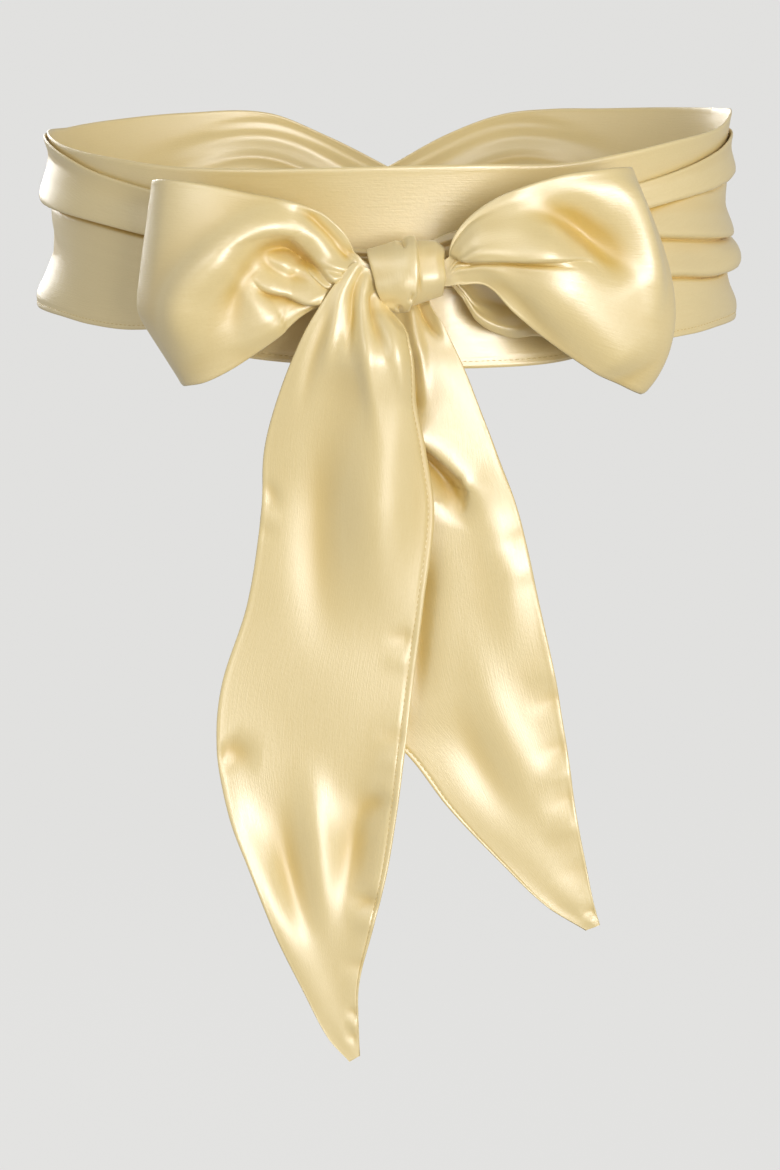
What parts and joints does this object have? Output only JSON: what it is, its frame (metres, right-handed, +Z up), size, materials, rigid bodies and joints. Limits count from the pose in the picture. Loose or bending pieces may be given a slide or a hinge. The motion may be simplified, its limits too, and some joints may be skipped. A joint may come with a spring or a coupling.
{
  "type": "satin sash",
  "caption": "Pale yellow satin waist sash, wound twice round the waist and tied in front in a bow with two slanted, pointed tails.",
  "frame": {"origin": "centre of the waist hollow, at the middle of the band's height", "axes": "+Z up along the waist, bow facing -Y, +X to the right as seen from the front"},
  "size_m": [0.2781, 0.2334, 0.3614],
  "materials": {
    "satin": "pale butter-yellow satin with a soft sheen"
  },
  "bodies": {
    "root": {"band_first_pass": "satin", "wrap_right": "satin", "wrap_left": "satin", "loop_left": "satin", "loop_right": "satin", "knot": "satin", "tail_left": "satin", "tail_right": "satin"}
  },
  "joints": []
}
